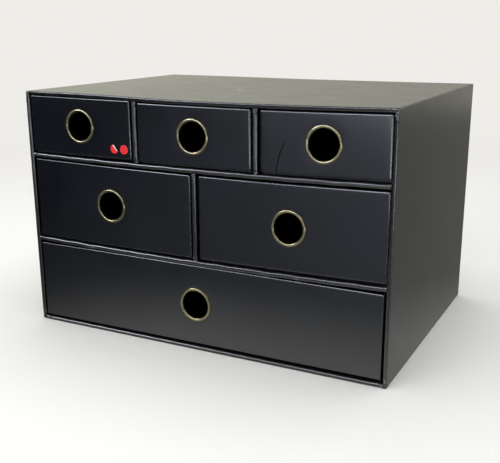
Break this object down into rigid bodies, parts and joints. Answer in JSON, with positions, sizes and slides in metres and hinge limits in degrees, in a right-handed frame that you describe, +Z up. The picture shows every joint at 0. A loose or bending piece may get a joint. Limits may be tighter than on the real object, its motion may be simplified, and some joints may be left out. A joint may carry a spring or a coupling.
{
  "type": "desktop drawer chest",
  "caption": "Free-standing desktop chest of paper-wrapped board with rows of pull-out tray drawers, each pulled by a round brass finger-hole eyelet.",
  "frame": {"origin": "on the base plane, under the middle of the case's 360 by 258 mm footprint", "axes": "+X to the right as seen from the front, along the width; +Y to the back, so the drawers pull out along -Y; +Z up"},
  "size_m": [0.36, 0.258, 0.227],
  "materials": {
    "case_paper_board": "satin",
    "drawer_front_paper_board": "satin",
    "tray_paper_board": "matte",
    "brass_eyelet": "satin",
    "red_label": "satin"
  },
  "bodies": {
    "case": {"case_top": "case_paper_board", "case_bottom": "case_paper_board", "case_left_side": "case_paper_board", "case_right_side": "case_paper_board", "case_back": "case_paper_board", "upper_shelf": "case_paper_board", "lower_shelf": "case_paper_board", "top_left_divider": "case_paper_board", "top_right_divider": "case_paper_board", "middle_divider": "case_paper_board"},
    "drawer_top_left": {"drawer_top_left_front": "drawer_front_paper_board", "drawer_top_left_base": "tray_paper_board", "drawer_top_left_left_side": "tray_paper_board", "drawer_top_left_right_side": "tray_paper_board", "drawer_top_left_back": "tray_paper_board", "drawer_top_left_eyelet": "brass_eyelet", "drawer_top_left_eyelet_washer": "brass_eyelet", "red_label_flat": "red_label", "red_label_lifted": "red_label"},
    "drawer_top_middle": {"drawer_top_middle_front": "drawer_front_paper_board", "drawer_top_middle_base": "tray_paper_board", "drawer_top_middle_left_side": "tray_paper_board", "drawer_top_middle_right_side": "tray_paper_board", "drawer_top_middle_back": "tray_paper_board", "drawer_top_middle_eyelet": "brass_eyelet", "drawer_top_middle_eyelet_washer": "brass_eyelet"},
    "drawer_top_right": {"drawer_top_right_front": "drawer_front_paper_board", "drawer_top_right_base": "tray_paper_board", "drawer_top_right_left_side": "tray_paper_board", "drawer_top_right_right_side": "tray_paper_board", "drawer_top_right_back": "tray_paper_board", "drawer_top_right_eyelet": "brass_eyelet", "drawer_top_right_eyelet_washer": "brass_eyelet"},
    "drawer_middle_left": {"drawer_middle_left_front": "drawer_front_paper_board", "drawer_middle_left_base": "tray_paper_board", "drawer_middle_left_left_side": "tray_paper_board", "drawer_middle_left_right_side": "tray_paper_board", "drawer_middle_left_back": "tray_paper_board", "drawer_middle_left_eyelet": "brass_eyelet", "drawer_middle_left_eyelet_washer": "brass_eyelet"},
    "drawer_middle_right": {"drawer_middle_right_front": "drawer_front_paper_board", "drawer_middle_right_base": "tray_paper_board", "drawer_middle_right_left_side": "tray_paper_board", "drawer_middle_right_right_side": "tray_paper_board", "drawer_middle_right_back": "tray_paper_board", "drawer_middle_right_eyelet": "brass_eyelet", "drawer_middle_right_eyelet_washer": "brass_eyelet"},
    "drawer_bottom": {"drawer_bottom_front": "drawer_front_paper_board", "drawer_bottom_base": "tray_paper_board", "drawer_bottom_left_side": "tray_paper_board", "drawer_bottom_right_side": "tray_paper_board", "drawer_bottom_back": "tray_paper_board", "drawer_bottom_eyelet": "brass_eyelet", "drawer_bottom_eyelet_washer": "brass_eyelet"}
  },
  "joints": [
    {"name": "drawer_top_left_slide", "type": "slide", "parent": "case", "child": "drawer_top_left", "axis": [0, -1, 0], "range_m": [0, 0.2]},
    {"name": "drawer_top_middle_slide", "type": "slide", "parent": "case", "child": "drawer_top_middle", "axis": [0, -1, 0], "range_m": [0, 0.2]},
    {"name": "drawer_top_right_slide", "type": "slide", "parent": "case", "child": "drawer_top_right", "axis": [0, -1, 0], "range_m": [0, 0.2]},
    {"name": "drawer_middle_left_slide", "type": "slide", "parent": "case", "child": "drawer_middle_left", "axis": [0, -1, 0], "range_m": [0, 0.2]},
    {"name": "drawer_middle_right_slide", "type": "slide", "parent": "case", "child": "drawer_middle_right", "axis": [0, -1, 0], "range_m": [0, 0.2]},
    {"name": "drawer_bottom_slide", "type": "slide", "parent": "case", "child": "drawer_bottom", "axis": [0, -1, 0], "range_m": [0, 0.2]}
  ]
}
